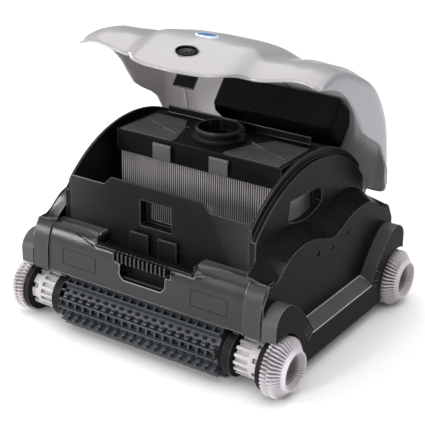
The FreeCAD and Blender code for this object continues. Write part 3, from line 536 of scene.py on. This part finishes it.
def make_badge():
    """Plain blue oval with a pale rim."""
    rim = [(1.0, -1.5), (1.0, 0.6), (0.96, 1.1), (0.86, 1.2), (0.82, 1.0)]
    make_oval("badge_rim", BADGE_SIZE, BADGE_PLACE, BADGE_TILT, rim, RING, ("lid_badge",))
    face = [(0.84, 0.9), (0.8, 1.2), (0.5, 1.5), (0.2, 1.6), (0.01, 1.62)]
    make_oval("badge_face", BADGE_SIZE, BADGE_PLACE, BADGE_TILT, face, BLUE)


# ---- wheels and brushes ----------------------------------------------------------------------

# Right-hand wheel as (x, radius), from its inner face over the tread and the cone into the hub.
WHEEL_PROFILE = [(186, 26), (186, 34), (186.3, 37.4), (187.2, 38.3), (191, 38.3), (196, 38.3), (199.5, 38.3),
                 (201.2, 37.6), (203, 35.7), (205, 33.4), (207, 31.1), (209, 28.9), (210.8, 27.0), (212, 25.9),
                 (212.6, 25.6), (214, 25.4), (214.8, 24.9), (215, 24.2), (214.8, 23.5), (213.6, 23.0),
                 (207, 22.6), (206.6, 19.6), (206, 19.2), (199, 18.8), (198.5, 6.4)]
# Part of the profile that carries fins.
FINNED = slice(2, 14)
FINS = 44
POINTS_PER_FIN = 10
FIN_START = 186.2
FIN_END = 211.5
FIN_FADE = 8.0
FIN_DEPTH = 7.5
FIN_LEAN = 0.035  # radians
TREAD_END = 201
# A face of the wheel is shaded when it lies deeper than this between fins, within these distances.
SHADE_DEPTH = 4.6
SHADE_RANGE = (186.5, 209.0)
CREASE = math.radians(42)

BRUSH_CORE = 27.5
BRUSH_TIP = 37.4
BRUSH_HALF = 121.0
BRUSH_END = 18
CORE_POINTS = 64
BANDS = 7
NUBS = 19
# Angles in radians from the start of a band: its start, its width, and its rows of nubs as (angle, shift).
BAND_START = 0.12
BAND_WIDTH = 0.30
NUB_ROWS = ((0.52, 0.25), (0.74, 0.75))
NUB_LEAN = 0.05


def fin_share(x):
    """How much of the full fin depth is left at x, near the end of the cone."""
    return min(1.0, (FIN_END - x) / FIN_FADE)


def finned(x, r, angle):
    """Radius between and on the fins; the fins lean a little across the tread."""
    if x < FIN_START or x > FIN_END:
        return r
    lean = FIN_LEAN * math.cos((x - 186) / 15.0 * math.pi) if x < TREAD_END else -FIN_LEAN
    phase = ((angle + lean) * FINS / (2 * math.pi)) % 1.0
    ridge = max(0.0, 1.0 - abs(2.0 * phase - 1.0) / 0.62)
    return r - FIN_DEPTH * fin_share(x) * (1.0 - min(1.0, 1.35 * ridge))


def make_wheel(where, label, side, y0):
    """Finned wheel: thin fins run over the tread and up the cone to a smooth hub ring."""
    around = FINS * POINTS_PER_FIN
    points = [(side * x, y, z) for x, y, z in lathe_x(WHEEL_PROFILE, around, y0, AXLE_Z, finned)]
    faces = grid_faces(len(WHEEL_PROFILE), around, True)
    faces.append(tuple(range(around)))
    last = (len(WHEEL_PROFILE) - 1) * around
    faces.append(tuple(last + k for k in range(around)))
    obj = piece(where + "_wheel_skin_" + label, points, faces, [WHEEL, SHADE], where + "_axle",
                (where + "_wheel_" + label,))
    recalc(obj)
    for poly in obj.data.polygons:
        x = abs(poly.center[0]) / MM
        r = math.hypot(poly.center[1] / MM - y0, poly.center[2] / MM - AXLE_Z)
        top = np.interp(x, [p[0] for p in WHEEL_PROFILE[FINNED]], [p[1] for p in WHEEL_PROFILE[FINNED]])
        if SHADE_RANGE[0] < x < SHADE_RANGE[1] and top - r > SHADE_DEPTH * fin_share(x):
            poly.material_index = 1
    modifier(obj, "EDGE_SPLIT", "creases", split_angle=CREASE)


def make_brush(where, y0):
    """Moulded brush: ladder bands of rails and rungs, with rows of nubs between them."""
    core = BRUSH_CORE
    tip = BRUSH_TIP
    half = BRUSH_HALF
    root = core - 1
    parts = Boxes()
    roller = [(-half, BRUSH_END), (-half, core), (half, core), (half, BRUSH_END)]
    parts.sheet(lathe_x(roller, CORE_POINTS, y0, AXLE_Z), CORE_POINTS, True)

    def radial(x0, x1, angle, thick0, thick1, lean=0.0):
        """A block from the core to the tip, thick0 wide at the root and thick1 at the tip."""
        corners = []
        for r, thick, turn in ((root, thick0, 0.0), (tip, thick1, lean)):
            for x, s in ((x0, -1), (x1, -1), (x1, 1), (x0, 1)):
                a = angle + turn
                along_y = math.cos(a) * r - math.sin(a) * s * thick / 2
                along_z = math.sin(a) * r + math.cos(a) * s * thick / 2
                corners.append((x, y0 + along_y, AXLE_Z + along_z))
        parts.block(corners)

    gap = 2 * half / NUBS
    for band in range(BANDS):
        start = band * (2 * math.pi / BANDS) + BAND_START
        for rail in (0.0, BAND_WIDTH):
            radial(-half, half, start + rail, 2.6, 1.8)
        for i in range(NUBS + 1):
            x = -half + i * gap
            x0, x1 = max(x - 1.3, -half), min(x + 1.3, half)
            corners = []
            for r in (root, tip - 2.5):
                for xx, a in ((x0, start), (x1, start), (x1, start + BAND_WIDTH), (x0, start + BAND_WIDTH)):
                    corners.append((xx, y0 + r * math.cos(a), AXLE_Z + r * math.sin(a)))
            parts.block(corners)
        for row, shift in NUB_ROWS:
            for i in range(NUBS):
                x = -half + (i + shift) * gap
                radial(max(x - 2.6, -half), min(x + 2.6, half), start + row, 4.6, 2.2, NUB_LEAN)
    piece(where + "_brush_skin", parts.verts, parts.faces, BRUSH, where + "_axle",
          (where + "_brush",), smooth=False)


# ---- filter ----------------------------------------------------------------------------------

PLEAT_PITCH = 3.3
PLEAT_POINTS = 6
PLEAT_DEPTH = 7.0
PLEAT_INSET = 0.6
PLEAT_ROWS = 9
# Columns of faces in each pleat that lie in its fold and get a painted shade.
FOLD_COLUMNS = (1, 2, 3)


def make_pleats(name, node, along_x):
    """Folded filter cloth: a row of narrow rounded pleats."""
    low, high = (np.array(c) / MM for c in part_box(node))
    run, across = (0, 1) if along_x else (1, 0)
    length = (high - low)[run]
    count = max(8, int(round(length / PLEAT_PITCH)))
    columns = count * PLEAT_POINTS
    points = []
    heights = np.linspace(low[2], high[2], PLEAT_ROWS)
    for z in heights:
        for i in range(columns + 1):
            s = i / PLEAT_POINTS
            wave = (0.5 - 0.5 * math.cos(2 * math.pi * s)) ** 1.5
            sway = 0.25 * math.sin(0.9 * int(s) + 2.3 * (z - low[2]) / 60.0)
            if low[across] < 0:
                deep = low[across] + PLEAT_INSET + wave * PLEAT_DEPTH
            else:
                deep = high[across] - PLEAT_INSET - wave * PLEAT_DEPTH
            place = low[run] + length * (s + sway * wave * 0.3) / count
            points.append((place, deep, z) if along_x else (deep, place, z))
    obj = piece(name, points, grid_faces(len(heights), columns + 1), [PLEAT, FOLD_SHADE], "chassis",
                (node,))
    # Faces deep in each fold get the darker material: painted shade.
    for poly in obj.data.polygons:
        if poly.index % columns % PLEAT_POINTS in FOLD_COLUMNS:
            poly.material_index = 1


# ---- bumper and sill details -----------------------------------------------------------------
# Outer face of the front bumper as (y, z), from its top edge down.
BUMPER_FACE = [(-134.5, 141.6), (-147.5, 141.5), (-156.0, 134.0), (-162.0, 120.0), (-165.0, 99.0), (-165.5, 76.0)]
STRIP_STEPS = 8
STRIP_ROOT = 0.8
# Rectangle outlined on each half of the bumper, as (x, z) corners of the right half, and the two lines of its V.
OUTLINE = [(74.0, 112.0), (127.0, 112.0), (127.0, 91.0), (74.0, 91.0)]
V_LINES = (((131.0, 139.9), (79.0, 126.6), 1.8), ((126.0, 140.6), (78.0, 130.6), 0.9))
FACET_OUTLINE = [(124.0, -147.0, 141.9), (78.2, -138.0, 141.9), (78.2, -149.5, 141.4), (78.2, -158.2, 131.8)]
FACET_DROP = 1.5
# Corners of the sloping top of the sill: outer and inner (x, z), and half its length.
SILL_OUTER = (197.0, 54.0)
SILL_INNER = (179.0, 63.5)
SILL_HALF = 78.0
RAIL_HALF = 0.5
RAIL_LIFT = (-0.5, 0.35)


def bumper_y(z):
    zs = [p[1] for p in BUMPER_FACE[:0:-1]]
    ys = [p[0] for p in BUMPER_FACE[:0:-1]]
    return float(steady(zs, ys, np.array([z]))[0])


def face_strip(parts, start, end, width, proud):
    """A low bar on the bumper's face between two (x, z) points."""
    dx = end[0] - start[0]
    dz = end[1] - start[1]
    length = math.hypot(dx, dz)
    nx, nz = -dz / length * width / 2, dx / length * width / 2
    for i in range(STRIP_STEPS):
        here, there = i / STRIP_STEPS, (i + 1) / STRIP_STEPS
        corners = []
        for depth in (STRIP_ROOT, -proud):
            for t, s in ((here, -1), (there, -1), (there, 1), (here, 1)):
                x = start[0] + dx * t + nx * s
                z = start[1] + dz * t + nz * s
                corners.append((x, bumper_y(z) + depth, z))
        parts.block(corners)


def make_bumper_details():
    """Raised outlines, V grooves drawn as dark strips of painted shade, and tilted facets in a paler grey that
    paints their highlight, on the front bumper.
    """
    raised = Boxes()
    grooves = Boxes()
    for sign in (-1, 1):
        corners = [(sign * x, z) for x, z in OUTLINE]
        for a, b in zip(corners, corners[1:] + corners[:1]):
            face_strip(raised, a, b, 1.2, 0.5)
        # The V lines are thin dark strips laid on the face: painted shade where the grooves are.
        for a, b, width in V_LINES:
            face_strip(grooves, (sign * a[0], a[1]), (sign * b[0], b[1]), width, 0.06)
    piece("bumper_outlines", raised.verts, raised.faces, PLAIN, "chassis", smooth=False)
    piece("bumper_grooves", grooves.verts, grooves.faces, DARK, "chassis", smooth=False)
    # Facets: plates tilted up from the face, in a paler grey that paints their highlight.
    for sign, label in ((-1, "left"), (1, "right")):
        top = [(sign * x, y, z) for x, y, z in FACET_OUTLINE]
        low = [(x, y + FACET_DROP, z - FACET_DROP) for x, y, z in top]
        faces = [(0, 2, 1), (0, 3, 2), (4, 5, 6), (4, 6, 7),
                 (0, 1, 5, 4), (1, 2, 6, 5), (2, 3, 7, 6), (3, 0, 4, 7)]
        facet = piece("bumper_facet_highlight_" + label, top + low, faces, FACET_HIGHLIGHT, "chassis", smooth=False)
        recalc(facet)


def make_sill_rails():
    """Thin ridges round the sloping top of each sill, in the pale crest material: a painted highlight on the
    sill's edges.
    """
    front_outer, rear_outer = ((SILL_OUTER[0], y, SILL_OUTER[1]) for y in (-SILL_HALF, SILL_HALF))
    front_inner, rear_inner = ((SILL_INNER[0], y, SILL_INNER[1]) for y in (-SILL_HALF, SILL_HALF))
    edges = ((front_outer, rear_outer), (front_inner, rear_inner), (front_outer, front_inner),
             (rear_outer, rear_inner))
    for side, label in ((1, "right"), (-1, "left")):
        rails = Boxes()
        for a, b in edges:
            along_y = a[1] != b[1]
            corners = []
            for lift in RAIL_LIFT:
                for point, wide in ((a, -RAIL_HALF), (b, -RAIL_HALF), (b, RAIL_HALF), (a, RAIL_HALF)):
                    x = point[0] + (wide if along_y else 0.0)
                    y = point[1] + (0.0 if along_y else wide)
                    corners.append((side * x, y, point[2] + lift))
            rails.block(corners)
        obj = piece("sill_highlight_rails_" + label, rails.verts, rails.faces, CREST_HIGHLIGHT, "chassis",
                    smooth=False)
        recalc(obj)


# ---- finish of the CAD nodes -----------------------------------------------------------------

FINISH = {"shell_black": SHELL, "trim_black": TRIM, "lid_silver": LID, "wheel_grey": BUSH, "brush_slate": BRUSH,
          "pleat_fabric": PLEAT, "cover_grey": COVER, "clip_grey": CLIP, "steel": STEEL, "gear_plastic": GEAR,
          "blue": BLUE}
# Nodes that differ from their slot, by the start of their name.
OWN_FINISH = {"side_cover": FLANK, "fender_cover": FENDER, "panel_screws": PLAIN, "lid_duct": DARK,
              "pump_motor": DARK, "lid_port_grille": DARK, "filter_base": DARK, "lid_catch": DARK,
              "filter_frame": DARK}
# Material for the rounded edges of each finish: a painted highlight.
EDGE_HIGHLIGHT_FINISH = {SHELL: EDGE_HIGHLIGHT, FLANK: CREST_HIGHLIGHT, FENDER: CREST_HIGHLIGHT, TRIM: TRIM_EDGE_HIGHLIGHT, COVER: TRIM_EDGE_HIGHLIGHT,
                 DARK: TRIM_EDGE_HIGHLIGHT}
# Width of the rounded edges, by a part of the node's name.
EDGE_WIDTH = {"side_cover": 1.8, "fender_cover": 1.3, "arch_wall": 0.8, "front_bumper": 1.0, "rear_bumper": 1.0,
              "front_wall": 0.6, "gear_bushing": 0.8, "filter_frame": 0.7, "filter_cover": 0.5, "lid_arms": 0.8}
USUAL_EDGE = 0.4


def finish_nodes():
    """Materials and rounded edges for the CAD nodes that are shown as they are."""
    slots = {part["node"]: part["material_slot"] for part in frame["record"]["subparts"]}
    for name, obj in nodes.items():
        mat = next((own for start, own in OWN_FINISH.items() if name.startswith(start)), FINISH[slots[name]])
        for entry in obj.material_slots:
            entry.link = "OBJECT"
            entry.material = mat
        width = next((wide for key, wide in EDGE_WIDTH.items() if key in name), USUAL_EDGE)
        soften(obj, width, EDGE_HIGHLIGHT_FINISH.get(mat))


# ---- stage, light and camera -----------------------------------------------------------------
# Places and sizes here are in metres.
FLOOR_HALF = 30
WORLD_STRENGTH = 0.28
# Name, place, target, size and power in watts.
LAMPS = (("overhead", (0, 0.3, 2.8), (0, 0.3, 0), (5.5, 5.5), 165),
         ("front_left", (-1.45, -1.75, 0.75), (-0.1, -0.16, 0.12), (0.45, 0.5), 17),
         ("front_right", (-0.15, -2.1, 0.8), (0.17, -0.16, 0.12), (0.25, 0.5), 17),
         ("under_lid", (-1.6, 0.15, 0.5), (0.1, 0.08, 0.3), (0.5, 0.4), 10))
# The camera looks from the front right; turn, rise and roll are in degrees, lens and sensor in millimetres.
CAMERA_PLACE = (0.81612, -1.21888, 0.77087)
CAMERA_TURN = 34.00
CAMERA_RISE = 23.38
CAMERA_ROLL = 0.68
LENS = 101.74
SENSOR = 36


def make_floor():
    mat, tree, shader = new_material("studio_floor")
    speck = add(tree, "ShaderNodeTexNoise", Scale=3.0, Detail=2.0)
    pale = ramp(tree, speck.outputs["Fac"], (0.93, 0.93, 0.93, 1), (0.96, 0.96, 0.96, 1))
    tree.links.new(pale, shader.inputs["Base Color"])
    shader.inputs["Roughness"].default_value = 0.8
    shader.inputs["Specular IOR Level"].default_value = 0.1
    mesh = bpy.data.meshes.new("studio_floor")
    corners = [(x * FLOOR_HALF, y * FLOOR_HALF, 0) for x, y in ((-1, -1), (1, -1), (1, 1), (-1, 1))]
    mesh.from_pydata(corners, [], [(0, 1, 2, 3)])
    mesh.materials.append(mat)
    obj = bpy.data.objects.new("studio_floor", mesh)
    bpy.context.scene.collection.objects.link(obj)


def area_light(name, place, target, size, power):
    data = bpy.data.lights.new(name, "AREA")
    data.shape = "RECTANGLE"
    data.size = size[0]
    data.size_y = size[1]
    data.energy = power
    obj = bpy.data.objects.new(name, data)
    bpy.context.scene.collection.objects.link(obj)
    obj.location = place
    obj.rotation_euler = (Vector(target) - Vector(place)).to_track_quat("-Z", "Y").to_euler()


def make_world():
    world = bpy.data.worlds.new("studio")
    bpy.context.scene.world = world
    world.use_nodes = True
    background = world.node_tree.nodes["Background"]
    background.inputs["Color"].default_value = WHITE
    background.inputs["Strength"].default_value = WORLD_STRENGTH


def make_camera():
    turn = math.radians(CAMERA_TURN)
    rise = math.radians(CAMERA_RISE)
    roll = math.radians(CAMERA_ROLL)
    back = Vector((math.sin(turn) * math.cos(rise), -math.cos(turn) * math.cos(rise), math.sin(rise)))
    right = Vector((math.cos(turn), math.sin(turn), 0))
    up = back.cross(right)
    rolled_right = right * math.cos(roll) + up * math.sin(roll)
    rolled_up = up * math.cos(roll) - right * math.sin(roll)
    data = bpy.data.cameras.new("camera")
    data.lens = LENS
    data.sensor_width = SENSOR
    obj = bpy.data.objects.new("camera", data)
    bpy.context.scene.collection.objects.link(obj)
    basis = Matrix((rolled_right, rolled_up, back)).transposed().to_4x4()
    obj.matrix_world = Matrix.Translation(CAMERA_PLACE) @ basis
    bpy.context.scene.camera = obj


# ---- build -----------------------------------------------------------------------------------

make_lid()
make_lid_ribs()
make_port()
make_badge()
for where, y0 in (("front", -AXLE_Y), ("rear", AXLE_Y)):
    make_brush(where, y0)
    for side, label in ((1, "right"), (-1, "left")):
        make_wheel(where, label, side, y0)
make_bumper_details()
make_sill_rails()
make_pleats("front_pleats", "pleats_front", True)
make_pleats("rear_pleats", "pleats_rear", True)
make_pleats("left_pleats", "pleats_left", False)
make_pleats("right_pleats", "pleats_right", False)
finish_nodes()

bpy.context.scene.view_settings.view_transform = "Standard"
make_floor()
make_world()
for lamp in LAMPS:
    area_light(*lamp)
make_camera()
